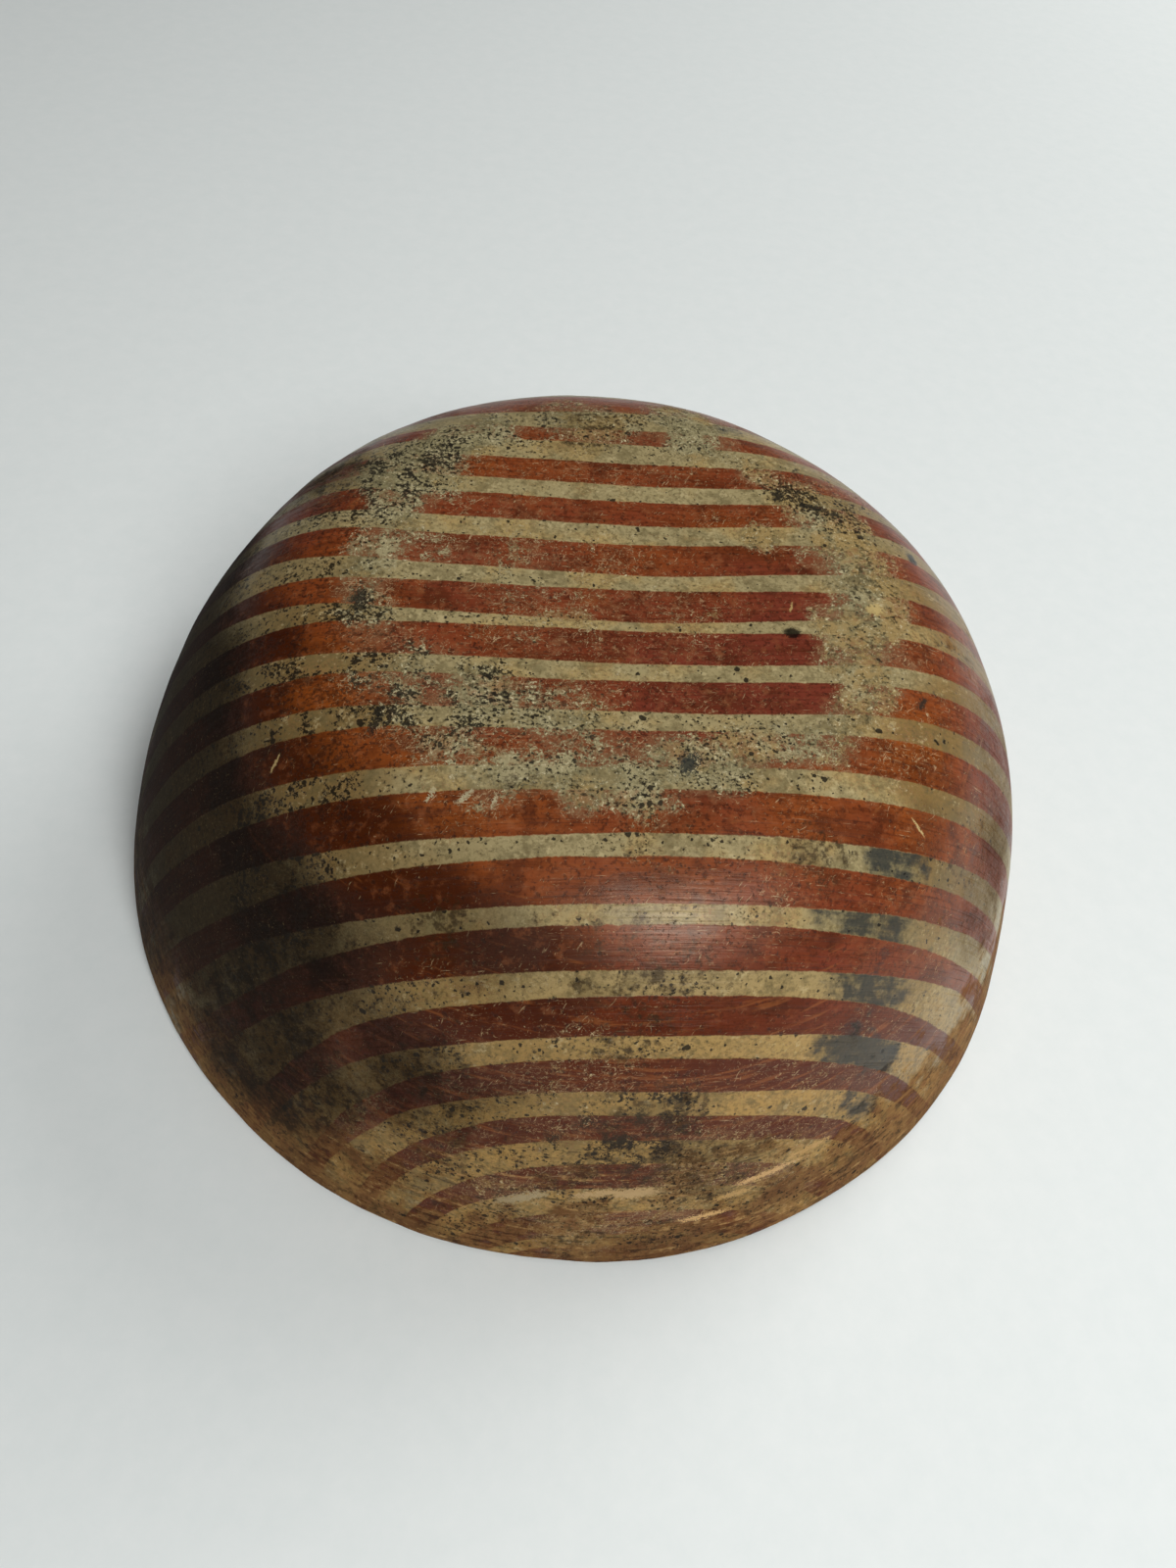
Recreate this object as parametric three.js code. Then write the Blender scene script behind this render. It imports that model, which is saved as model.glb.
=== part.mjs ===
// Hand-built pottery bowl with a dished base, lying mouth down on its rim as it is stored.
//
// The bowl is one piece of fired clay, coiled and pinched by hand, scraped thin and burnished.
// Nothing is fixed to it and nothing on it moves. Its coats of cream slip and red paint are
// about as thick as a sheet of paper, so they belong to the finish and not to the form.
//
// Millimetres. +Z is up. The origin is the middle of the mouth, in the plane of the lip.
import * as THREE from 'three';

// Driving dimensions of the outside
const rimRadius = 110;
const bowlHeight = 81.5;
const wallLean = 14.6; // degrees from upright, just above the lip
const wallRise = 47; // how far the wall keeps its lean before it turns in
const shoulderReach = 29.4; // how far the base stays level before the shoulder turns down

// Driving dimensions of the base
const restingRingRadius = 49; // middle of the worn ring that the bowl stands on
const restingRingWidth = 4;
const baseDishDepth = 1.8; // the base is pushed in by the palm, so the bowl stands without rocking
const baseThickness = 7.5;

// Driving dimensions of the lip
const lipThickness = 5;
const lipRounding = 1.6; // radius of the lip's outer edge

// Unevenness of a mouth that was shaped by hand and not on a wheel
const ovalSwell = 0.45; // the long way across the mouth stands this far out, the short way as far in
const ovalAzimuth = 62; // degrees from +X to the long way across
const squareSwell = 0.25; // four faint corners left by paddling
const squareAzimuth = 20; // degrees from +X to the first corner

// Fineness of the solid
const segmentsAround = 88;
const wallSteps = 19;
const lipSteps = 3; // steps in each rounded edge of the lip
const dishSteps = 5;

// Colour and finish: red-brown paint and cream slip, mixed as the eye sees them from afar
const burnishedClay = new THREE.MeshStandardMaterial({
  color: '#7a4a2e',
  roughness: 0.46,
  metalness: 0,
});

const lean = THREE.MathUtils.degToRad(wallLean);

// The outer line of the wall, from the rounded lip up over the shoulder to the resting ring.
// It leaves the lip at the wall's lean and comes in level on the base.
function outerWallCurve() {
  const start = new THREE.Vector2(
    rimRadius - lipRounding + lipRounding * Math.cos(lean),
    lipRounding + lipRounding * Math.sin(lean),
  );
  const end = new THREE.Vector2(restingRingRadius + restingRingWidth / 2, bowlHeight);
  const startHandle = new THREE.Vector2(-Math.sin(lean), Math.cos(lean))
    .multiplyScalar(wallRise)
    .add(start);
  const endHandle = new THREE.Vector2(end.x + shoulderReach, end.y);
  return new THREE.CubicBezierCurve(start, startHandle, endHandle, end);
}

// The wall thickens smoothly from the lip to the base, as a bowl pinched up from a pad does.
function wallThicknessAt(share) {
  return THREE.MathUtils.lerp(lipThickness, baseThickness, THREE.MathUtils.smoothstep(share, 0, 1));
}

// The point inside the wall, square to the outer line, at a share of the way from lip to base.
function innerWallPoint(curve, share) {
  const outer = curve.getPoint(share);
  const along = curve.getTangent(share);
  const outward = new THREE.Vector2(along.y, -along.x);
  return outward.multiplyScalar(-wallThicknessAt(share)).add(outer);
}

// A rounded edge in the profile, from one angle to the other, angles in degrees from +r.
function roundedEdge(centre, radius, fromDegrees, toDegrees) {
  const points = [];
  for (let step = 0; step <= lipSteps; step += 1) {
    const share = step / lipSteps;
    const angle = THREE.MathUtils.degToRad(THREE.MathUtils.lerp(fromDegrees, toDegrees, share));
    points.push(new THREE.Vector2(
      centre.x + radius * Math.cos(angle),
      centre.y + radius * Math.sin(angle),
    ));
  }
  return points;
}

// The lip, from the inner wall round to the outer wall. Between its two rounded edges lies
// the flat land that the bowl rests on when it is stored mouth down.
function lipProfile(innerWallStart) {
  const innerRounding = innerWallStart.y / (1 - Math.sin(lean));
  const innerCentre = new THREE.Vector2(
    innerWallStart.x + innerRounding * Math.cos(lean),
    innerRounding,
  );
  const outerCentre = new THREE.Vector2(rimRadius - lipRounding, lipRounding);
  return [
    ...roundedEdge(innerCentre, innerRounding, 180 + wallLean, 270),
    ...roundedEdge(outerCentre, lipRounding, 270, 360 + wallLean),
  ];
}

// Height of the dished base above a level drawn through the resting ring, at a radius.
function dishLevel(radius) {
  const dishRadius = restingRingRadius - restingRingWidth / 2;
  const share = Math.min(radius / dishRadius, 1);
  return (-baseDishDepth * (1 + Math.cos(Math.PI * share))) / 2;
}

// The whole section in one line: the floor inside, the inner wall, the lip, the outer wall,
// the resting ring and the dished base, from the axis back to the axis.
function bowlProfile() {
  const wall = outerWallCurve();
  const dishRadius = restingRingRadius - restingRingWidth / 2;
  const ringOuterRadius = restingRingRadius + restingRingWidth / 2;
  const profile = [];

  for (let step = 0; step <= dishSteps; step += 1) {
    const radius = (dishRadius * step) / dishSteps;
    profile.push(new THREE.Vector2(radius, bowlHeight - baseThickness + dishLevel(radius)));
  }
  profile.push(new THREE.Vector2(ringOuterRadius, bowlHeight - baseThickness));

  for (let step = wallSteps - 1; step >= 1; step -= 1) {
    profile.push(innerWallPoint(wall, step / wallSteps));
  }
  profile.push(...lipProfile(innerWallPoint(wall, 0)));
  for (let step = 1; step <= wallSteps; step += 1) {
    profile.push(wall.getPoint(step / wallSteps));
  }

  for (let step = dishSteps; step >= 0; step -= 1) {
    const radius = (dishRadius * step) / dishSteps;
    profile.push(new THREE.Vector2(radius, bowlHeight + dishLevel(radius)));
  }
  return profile;
}

// Moves the turned shape out of true by the faint oval and the four faint corners. Both walls
// move alike, so the wall keeps its thickness, and both faces that bear stay level.
function shapeByHand(geometry) {
  const place = geometry.attributes.position;
  const longWay = THREE.MathUtils.degToRad(ovalAzimuth);
  const cornerWay = THREE.MathUtils.degToRad(squareAzimuth);
  for (let index = 0; index < place.count; index += 1) {
    const x = place.getX(index);
    const y = place.getY(index);
    const azimuth = Math.atan2(y, x);
    const swell = ovalSwell * Math.cos(2 * (azimuth - longWay))
      + squareSwell * Math.cos(4 * (azimuth - cornerWay));
    const growth = 1 + swell / rimRadius;
    place.setX(index, x * growth);
    place.setY(index, y * growth);
  }
  geometry.computeVertexNormals();
}

function makeBowl() {
  const geometry = new THREE.LatheGeometry(bowlProfile(), segmentsAround);
  geometry.rotateX(Math.PI / 2); // the turning axis becomes +Z
  shapeByHand(geometry);
  const bowl = new THREE.Mesh(geometry, burnishedClay);
  bowl.name = 'fired_clay_bowl';
  return bowl;
}

const pottery = new THREE.Group();
pottery.add(makeBowl());

export default pottery;
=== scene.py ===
# %% [markdown]
# # A burnished pottery bowl with red bands, lying mouth down
#
# The bowl is one piece of earthenware. It was coiled and pinched up by hand, scraped thin,
# dipped in cream slip, painted with red bands and rubbed with a pebble until it shone. Years of
# standing on its base and of cooking fires then wore and darkened it.
#
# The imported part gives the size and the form. This script adds what the eye sees: the
# unevenness of a hand-made wall, the bands, the worn ring, the fire clouds and the gloss.

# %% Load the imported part
import math

import bmesh
import bpy
from mathutils import Matrix, Vector


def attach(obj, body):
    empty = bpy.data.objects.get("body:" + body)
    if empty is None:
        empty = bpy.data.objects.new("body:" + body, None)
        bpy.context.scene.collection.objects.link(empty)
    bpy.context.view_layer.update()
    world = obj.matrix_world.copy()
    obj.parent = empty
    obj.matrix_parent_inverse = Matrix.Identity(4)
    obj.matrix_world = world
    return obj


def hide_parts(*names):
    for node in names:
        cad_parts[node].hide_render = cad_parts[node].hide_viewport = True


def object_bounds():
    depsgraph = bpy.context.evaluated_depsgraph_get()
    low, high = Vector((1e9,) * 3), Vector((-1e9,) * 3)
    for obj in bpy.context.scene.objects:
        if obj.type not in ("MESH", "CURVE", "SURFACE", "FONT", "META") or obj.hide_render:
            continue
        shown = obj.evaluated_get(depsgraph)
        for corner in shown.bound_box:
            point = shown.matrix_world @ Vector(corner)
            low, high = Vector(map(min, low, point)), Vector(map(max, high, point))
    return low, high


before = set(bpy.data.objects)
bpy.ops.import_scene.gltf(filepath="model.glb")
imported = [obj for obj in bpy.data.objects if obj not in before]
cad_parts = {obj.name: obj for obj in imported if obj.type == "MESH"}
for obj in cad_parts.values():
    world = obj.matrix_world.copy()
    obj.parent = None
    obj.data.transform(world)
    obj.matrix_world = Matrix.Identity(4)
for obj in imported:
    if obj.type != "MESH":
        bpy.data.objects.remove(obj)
cad_low, cad_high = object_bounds()
MM = 0.001
print("CAD box in mm:", [round(x / MM, 1) for x in cad_high - cad_low])

# %% [markdown]
# ## The camera
#
# The photograph looks down at the base from above the near side, a little turned and a little
# tilted. The lens is given for a 36 mm long side of the picture. A heading and a depression are
# easier to read than a matrix, so the camera is turned by three angles, one after the other.

# %% Camera at the photograph's viewing angle
CAMERA_PLACE = Vector((-29.79, -154.98, 235.92)) * MM
CAMERA_HEADING = 11.10  # degrees to the right of straight ahead, which is +Y
CAMERA_DEPRESSION = 54.65  # degrees below the horizon
CAMERA_ROLL = 9.93  # degrees, the right side of the picture is lifted
LENS = 24.94  # mm
LONG_SIDE = 36  # mm, of the frame behind the lens

camera = bpy.data.objects.new("camera", bpy.data.cameras.new("camera"))
bpy.context.scene.collection.objects.link(camera)
camera.data.lens = LENS
camera.data.sensor_width = LONG_SIDE
camera.data.sensor_fit = "AUTO"
camera.data.clip_start = 0.01
camera.location = CAMERA_PLACE
turned = Matrix.Rotation(-math.radians(CAMERA_HEADING), 3, "Z")
lowered = Matrix.Rotation(math.radians(90 - CAMERA_DEPRESSION), 3, "X")
rolled = Matrix.Rotation(math.radians(CAMERA_ROLL), 3, "Z")
camera.rotation_euler = (turned @ lowered @ rolled).to_euler()
bpy.context.scene.camera = camera
print("Camera stands", round(CAMERA_PLACE.length / MM), "mm from the middle of the mouth")

# %% [markdown]
# ## The section of the wall
#
# The bowl is drawn as half a section: a radius and a height for each ring of the mesh. The
# outer line is one smooth Bezier curve from the lip to the resting ring, with the same named
# sizes as the solid. The inner line lies square to it, one wall thickness inside.

# %% Sizes of the section, in millimetres
RIM_RADIUS = (cad_high.x - cad_low.x + cad_high.y - cad_low.y) / 4 / MM
BOWL_HEIGHT = cad_high.z / MM
WALL_LEAN = math.radians(14.6)
WALL_RISE = 47
SHOULDER_REACH = 29.4
RING_INSIDE, RING_OUTSIDE = 47, 51  # radii of the worn ring that the bowl stands on
DISH_DEPTH = 1.8
LIP_THICKNESS, BASE_THICKNESS = 5, 7.5
LIP_ROUNDING = 1.6

AROUND = 80  # vertices in a ring, a multiple of 4 so that a grid can fill it
WALL_RINGS = 30
INSIDE_RINGS = 22
LIP_STEPS = 3
WELD_WITHIN = 0.01  # mm


def outer_wall(share):
    """The outer line at a share of the way from the lip to the resting ring, and its direction."""
    inset = LIP_ROUNDING * (1 - math.cos(WALL_LEAN))
    start = Vector((RIM_RADIUS - inset, LIP_ROUNDING * (1 + math.sin(WALL_LEAN))))
    rise = start + WALL_RISE * Vector((-math.sin(WALL_LEAN), math.cos(WALL_LEAN)))
    end = Vector((RING_OUTSIDE, BOWL_HEIGHT))
    reach = end + Vector((SHOULDER_REACH, 0))
    rest = 1 - share
    place = rest**3 * start + 3 * rest**2 * share * rise
    place = place + 3 * rest * share**2 * reach + share**3 * end
    along = rest**2 * (rise - start) + 2 * rest * share * (reach - rise) + share**2 * (end - reach)
    return place, along.normalized()


def inner_wall(share):
    """The inner line, square to the outer one. The wall thickens smoothly towards the base."""
    place, along = outer_wall(share)
    thickness = LIP_THICKNESS + (BASE_THICKNESS - LIP_THICKNESS) * share * share * (3 - 2 * share)
    return place + thickness * Vector((-along.y, along.x))


def rounding(centre, radius, start, end):
    """Points on a rounded edge of the lip, angles in degrees from the outward direction."""
    steps = range(LIP_STEPS + 1)
    turns = [math.radians(start + (end - start) * step / LIP_STEPS) for step in steps]
    return [centre + radius * Vector((math.cos(turn), math.sin(turn))) for turn in turns]


lean_degrees = math.degrees(WALL_LEAN)
wall_start = inner_wall(0)
inner_rounding = wall_start.y / (1 - math.sin(WALL_LEAN))
inner_centre = Vector((wall_start.x + inner_rounding * math.cos(WALL_LEAN), inner_rounding))
outer_centre = Vector((RIM_RADIUS - LIP_ROUNDING, LIP_ROUNDING))

outer_line = [Vector((RING_OUTSIDE, BOWL_HEIGHT))]
outer_line += [outer_wall(1 - step / WALL_RINGS)[0] for step in range(1, WALL_RINGS)]
outer_line += rounding(outer_centre, LIP_ROUNDING, lean_degrees, -90)
inner_line = rounding(inner_centre, inner_rounding, 270, 180 + lean_degrees)
inner_line += [inner_wall(step / INSIDE_RINGS) for step in range(1, INSIDE_RINGS)]
floor_height = BOWL_HEIGHT - BASE_THICKNESS
inner_line += [Vector((radius, floor_height)) for radius in (RING_OUTSIDE, RING_INSIDE)]
print("Section has", len(outer_line), "rings outside and", len(inner_line), "inside")

# %% [markdown]
# ## The bowl, ring by ring
#
# The potter starts with a pad for the base and adds coil on coil. The mesh can grow the same
# way: a circle is filled with a grid, and its edge is extruded, resized and moved for each
# ring. A lathe or a spin would be quicker, but it leaves a pole in the middle of the base,
# where light shows every pinch. A grid has no pole.

# %% Helpers for edit mode
def deselect_all():
    """Operators act on all that is selected, so each piece starts with nothing selected."""
    if bpy.context.object and bpy.context.object.mode != "OBJECT":
        bpy.ops.object.mode_set(mode="OBJECT")
    bpy.ops.object.select_all(action="DESELECT")


def select_boundary(piece):
    """Selects the open edge of the mesh that is being edited."""
    mesh = bmesh.from_edit_mesh(piece.data)
    for face in mesh.faces:
        face.select = False
    for edge in mesh.edges:
        edge.select = edge.is_boundary
    bmesh.update_edit_mesh(piece.data)


def add_ring(before, after):
    """Extrudes the selected ring from one point of the section to the next."""
    bpy.ops.mesh.extrude_edges_move()
    size = after.x / before.x
    middle = (0, 0, before.y * MM)
    bpy.ops.transform.resize(value=(size, size, 1), center_override=middle)
    bpy.ops.transform.translate(value=(0, 0, (after.y - before.y) * MM))


# %% Base, wall, lip and inside
deselect_all()
bpy.ops.mesh.primitive_circle_add(
    vertices=AROUND, radius=RING_INSIDE * MM, fill_type="NOTHING", location=(0, 0, BOWL_HEIGHT * MM)
)
bowl = bpy.context.object
bowl.name = "burnished_bowl"
bpy.ops.object.transform_apply(location=True, rotation=True, scale=True)
bpy.ops.object.mode_set(mode="EDIT")
bpy.ops.mesh.select_mode(type="EDGE")
bpy.ops.mesh.select_all(action="SELECT")
bpy.ops.mesh.fill_grid(span=AROUND // 4)
select_boundary(bowl)

line = [Vector((RING_INSIDE, BOWL_HEIGHT))] + outer_line + inner_line
for before, after in zip(line, line[1:]):
    add_ring(before, after)
bpy.ops.mesh.fill_grid(span=AROUND // 4)
bpy.ops.mesh.select_all(action="SELECT")
bpy.ops.mesh.remove_doubles(threshold=WELD_WITHIN * MM)
bpy.ops.mesh.normals_make_consistent(inside=False)
print("Cage of the bowl:", len(bmesh.from_edit_mesh(bowl.data).faces), "faces")

# %% [markdown]
# ## Pressed by hand
#
# The palm pushes the base in, so that the bowl stands on a ring and doesn't rock. The same
# palm leaves the wall a little flatter in some places and fuller in others. Proportional
# editing does what a hand does to wet clay: one place moves and what is around it follows, on
# both sides of the wall, so the wall keeps its thickness.

# %% Presses
PRESSES = [
    # azimuth in degrees from +X, height, millimetres pushed in, how far the press reaches
    (152, 52, 1.1, 42),
    (195, 20, -0.5, 40),
    (62, 30, -0.6, 45),
    (-28, 30, 0.5, 38),
    (-75, 45, -0.4, 35),
]
WALL_SHARE = 0.95  # of the rim's radius, about where the wall is at those heights


def press(piece, place, push, reach):
    """Moves the vertex nearest to a place, and what is around it, by a vector in millimetres."""
    bpy.ops.mesh.select_mode(type="VERT")
    bpy.ops.mesh.select_all(action="DESELECT")
    mesh = bmesh.from_edit_mesh(piece.data)
    nearest = min(mesh.verts, key=lambda vertex: (vertex.co - place * MM).length)
    nearest.select = True
    bmesh.update_edit_mesh(piece.data)
    bpy.ops.transform.translate(
        value=push * MM,
        use_proportional_edit=True,
        proportional_edit_falloff="SMOOTH",
        proportional_size=reach * MM,
    )


press(bowl, Vector((0, 0, BOWL_HEIGHT)), Vector((0, 0, -DISH_DEPTH)), RING_INSIDE)
for azimuth, height, depth, reach in PRESSES:
    outward = Vector((math.cos(math.radians(azimuth)), math.sin(math.radians(azimuth)), 0))
    press(bowl, outward * RIM_RADIUS * WALL_SHARE + Vector((0, 0, height)), -outward * depth, reach)
bpy.ops.object.mode_set(mode="OBJECT")
print("Base dished by", DISH_DEPTH, "mm and wall pressed in", len(PRESSES), "places")

# %% [markdown]
# ## A fine surface
#
# Two rounds of subdivision turn the cage into a surface with a vertex about every 1.5 mm. Two
# displacements then move it by less than the thickness of a fingernail: wide swells from
# paddling, and shallow facets left by the scraper and the burnishing pebble.

# %% Subdivide and scrape
def apply_modifier(piece, kind, name, **settings):
    """Adds one modifier with its settings and applies it to the mesh."""
    modifier = piece.modifiers.new(name, kind)
    for key, value in settings.items():
        setattr(modifier, key, value)
    bpy.context.view_layer.objects.active = piece
    bpy.ops.object.modifier_apply(modifier=name)


def cloud_texture(name, size, depth):
    """A soft cloud pattern for displacing, with lumps of a size in millimetres."""
    texture = bpy.data.textures.new(name, "CLOUDS")
    texture.noise_scale = size * MM
    texture.noise_depth = depth
    return texture


apply_modifier(bowl, "SUBSURF", "fine_surface", levels=2, render_levels=2)
swells = {"texture": cloud_texture("swells", 38, 1), "strength": 0.9 * MM}
facets = {"texture": cloud_texture("facets", 9, 2), "strength": 0.22 * MM}
apply_modifier(bowl, "DISPLACE", "paddled_swells", mid_level=0.5, **swells)
apply_modifier(bowl, "DISPLACE", "scraped_facets", mid_level=0.5, **facets)
deselect_all()
bowl.select_set(True)
bpy.context.view_layer.objects.active = bowl
bpy.ops.object.shade_smooth()

# The lip is levelled on a flat board: what stands below the floor is pressed up to it.
bpy.ops.object.mode_set(mode="EDIT")
bpy.ops.mesh.select_all(action="DESELECT")
mesh = bmesh.from_edit_mesh(bowl.data)
for vertex in mesh.verts:
    vertex.select = vertex.co.z < 0
bmesh.update_edit_mesh(bowl.data)
bpy.ops.transform.resize(value=(1, 1, 0), center_override=(0, 0, 0))
bpy.ops.object.mode_set(mode="OBJECT")
print("Fine bowl:", len(bowl.data.polygons) * 2, "triangles")

# %% [markdown]
# ## The painter's plane
#
# The bands were painted as straight lines across the base that run on down the wall. To draw
# them, the outside is unrolled flat: a place keeps its azimuth, and its distance from the
# middle of the base is measured along the surface. Each vertex keeps its two coordinates on
# that plane, in millimetres, and its depth below the outside as a third. It could be a UV map,
# but a vector attribute has no seam and needs no scaling to fit a square.

# %% Unroll the outside
AXIS_POINT = Vector((0, 30))  # seen from this point of the section, each slope meets the wall once
DISH_STEPS = 8
section = []
for step in range(DISH_STEPS + 1):
    share = step / DISH_STEPS
    sunk = DISH_DEPTH * (1 + math.cos(math.pi * share)) / 2
    section.append(Vector((RING_INSIDE * share, BOWL_HEIGHT - sunk)))
section += outer_line
arc = [0.0]
for before, after in zip(section, section[1:]):
    arc.append(arc[-1] + (after - before).length)
slopes = [math.atan2(point.y - AXIS_POINT.y, point.x) for point in section]
reaches = [(point - AXIS_POINT).length for point in section]
ARC_TO_LIP = arc[-1]


def unroll(place):
    """(across, along, depth) in millimetres of a place on the bowl, on the painter's plane."""
    radius = math.hypot(place.x, place.y) / MM
    height = place.z / MM
    slope = math.atan2(height - AXIS_POINT.y, radius)
    step = 1
    while step < len(slopes) - 1 and slopes[step] > slope:
        step += 1
    share = (slopes[step - 1] - slope) / (slopes[step - 1] - slopes[step])
    share = min(max(share, 0), 1)
    distance = arc[step - 1] + share * (arc[step] - arc[step - 1])
    reach = reaches[step - 1] + share * (reaches[step] - reaches[step - 1])
    depth = reach - math.hypot(radius, height - AXIS_POINT.y)
    turn = math.atan2(place.y, place.x)
    return distance * math.cos(turn), distance * math.sin(turn), depth


unrolled = [unroll(vertex.co) for vertex in bowl.data.vertices]
plane = bowl.data.attributes.new("painters_plane", "FLOAT_VECTOR", "POINT")
plane.data.foreach_set("vector", [number for place in unrolled for number in place])
print("From the middle of the base to the lip is", round(ARC_TO_LIP, 1), "mm along the outside")

# %% [markdown]
# ## The height of a band
#
# On the base the lines are straight. Further down the wall they droop at both ends, more on
# the left, as they would from a painter who held the bowl in one hand. Above the middle they
# lift a little at the ends. Each vertex gets the height that its band has at the middle, so
# that the material needs only that one number to know which band it is in.

# %% Height of the band through each vertex
LEVEL_LINE = -48  # the line that doesn't droop
DROOP_LEFT, DROOP_RIGHT, DROOP_BEHIND = 0.0036, 0.0013, 0.0020
LIFT = 0.019
REACH = 60  # across, in mm, where the droop and the lift are as given above
WIDEST = 104  # across, where both stop growing
BEND = 8  # how sharply they stop, so that no kink shows on the flanks


def undo_droop(beyond, droop):
    """Solves beyond = x + droop * x * x for x."""
    if droop < 1e-7:
        return beyond
    return (math.sqrt(1 + 4 * droop * beyond) - 1) / (2 * droop)


def band_height(across, along):
    """The height that the band through a place has at the middle of the bowl."""
    share = abs(across) / REACH / (1 + (across / WIDEST) ** BEND) ** (1 / BEND)
    if along < LEVEL_LINE:
        droop = DROOP_LEFT if across < 0 else DROOP_RIGHT
        return LEVEL_LINE - undo_droop(LEVEL_LINE - along, droop * share**3)
    lift = LIFT * share**4
    behind = -LEVEL_LINE - 2 * LEVEL_LINE * lift
    if along < behind:
        return (along + LEVEL_LINE * lift) / (1 + lift)
    return -LEVEL_LINE + undo_droop(along - behind, DROOP_BEHIND * share**3)


heights = [band_height(across, along) for across, along, depth in unrolled]
bowl.data.attributes.new("band_height", "FLOAT", "POINT").data.foreach_set("value", heights)
print("Bands run from", round(min(heights)), "to", round(max(heights)), "mm")

# %% [markdown]
# ## Where the bowl is worn, sooty or bare, and where shade is painted
#
# Wear isn't a pattern, it has places. The bowl has stood on its base for years, so the ring it
# stands on has lost its paint. These places are laid on the painter's plane, each with its
# reach, and fade out at the edge. The material breaks them up into grain later.

# %% Places of wear, as (across, along, reach, strength) in mm on the painter's plane
WORN_PLACES = [
    # right side of the ring, from the back to the front
    (34, 38, 5, 0.5), (41, 31, 6, 0.5), (44, 23, 6, 0.6), (52, 34, 9, 0.35), (50, 15, 7, 0.8),
    (53, 6, 6, 0.75), (42, -6, 5, 0.55), (42, 12, 5, 0.5), (55, -2, 7, 0.6), (57, 12, 7, 0.35),
    (52, 22, 7, 0.6), (40, -18, 4, 0.4), (48, 4, 6, 0.65), (51, -5, 7, 0.8), (46, -13, 7, 0.75),
    (47, -24, 6, 0.75), (54, -16, 6, 0.4), (42, -31, 5, 0.6), (31.5, 17, 4, 0.85),
    # near side, from right to left
    (36, -37, 6, 0.6), (28, -38, 6, 0.55), (20, -40, 6, 0.6), (16, -45, 6, 0.6), (8, -42, 6, 0.7),
    (-2, -41, 6, 0.35), (-3, -47, 6, 0.6), (-12, -46, 5, 0.6), (-21, -45, 5, 0.6),
    (-12, -38, 7, 0.3), (-10, -51, 4, 0.6), (1, -52, 5, 0.35), (6, -49, 5, 0.35),
    (-26, -50, 5, 0.4), (-31, -42, 7, 0.35),
    # left side, from the front to the back
    (-28, -27, 6, 0.8), (-21, -31, 6, 0.5), (-37, -24, 7, 0.45), (-12, -31, 8, 0.35),
    (-46, -30, 9, 0.35), (-46, -18, 9, 0.4), (-35, -36, 8, 0.35), (-50, -8, 6, 0.5),
    (-51, 0, 6, 0.55), (-50, 8, 6, 0.55), (-46, 16, 6, 0.5), (-40, 8, 8, 0.3), (-45, 25, 7, 0.7),
    (-48, 34, 7, 0.9), (-40, 38, 7, 0.95), (-34, 45, 7, 0.9), (-25, 49, 6, 0.8), (-36, 30, 6, 0.4),
    (-62, 34, 9, 0.35),
    # far side
    (20, 49, 7, 0.9), (27, 45, 5, 0.4), (-8, 55, 9, 0.4), (20, 59, 9, 0.7), (2, 50, 8, 0.35),
    # the middle, the flanks and the front, rubbed lightly
    (-30, -5, 20, 0.15), (-25, 12, 16, 0.15), (0, -20, 30, 0.2), (0, 25, 36, 0.15),
    (62, 12, 12, 0.12), (0, -80, 70, 0.12), (62, -40, 36, 0.15), (-95, -60, 18, 0.35),
    (-66, -108, 14, 0.4), (20, -126, 12, 0.5), (45, -134, 14, 0.6), (-10, -147, 12, 0.6),
    (-30, -133, 8, 0.4), (15, -144, 12, 0.5), (-20, -130, 40, 0.3), (50, -115, 24, 0.3),
    (0, 100, 80, 0.25),
]
SPECKLED_PLACES = [
    (-46, 34, 13, 1.0), (-38, 40, 10, 0.8), (-54, 20, 12, 0.7), (-52, -2, 8, 1.0),
    (-50, -18, 12, 0.85), (-46, -34, 7, 1.0), (-40, -32, 12, 0.8), (-26, -29, 12, 0.75),
    (-60, -10, 14, 0.5), (-58, -28, 10, 0.6), (43, 33, 8, 1.0), (50, 25, 8, 0.75), (38, 40, 8, 0.6),
    (60, 30, 12, 0.6), (0, -44, 18, 0.6), (24, -42, 12, 0.5), (-60, -46, 14, 0.8),
    (-70, -62, 16, 0.9), (-75, -30, 20, 0.8), (-72, 0, 18, 0.6), (-40, -60, 16, 0.4),
    (0, -95, 16, 0.5), (-5, -120, 16, 0.9), (8, -108, 12, 0.7), (-30, -95, 20, 0.45),
    (-80, -90, 20, 0.6), (-40, -130, 26, 0.7), (15, -72, 14, 0.5), (20, -145, 26, 0.7),
    (60, -125, 22, 0.5), (-70, 25, 18, 0.6), (-20, 53, 14, 0.6), (10, 52, 12, 0.5),
    (-45, -90, 14, 0.5), (70, -60, 14, 0.4), (-25, -10, 20, 0.4), (0, -20, 50, 0.25),
    (0, 100, 70, 0.35),
]
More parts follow.
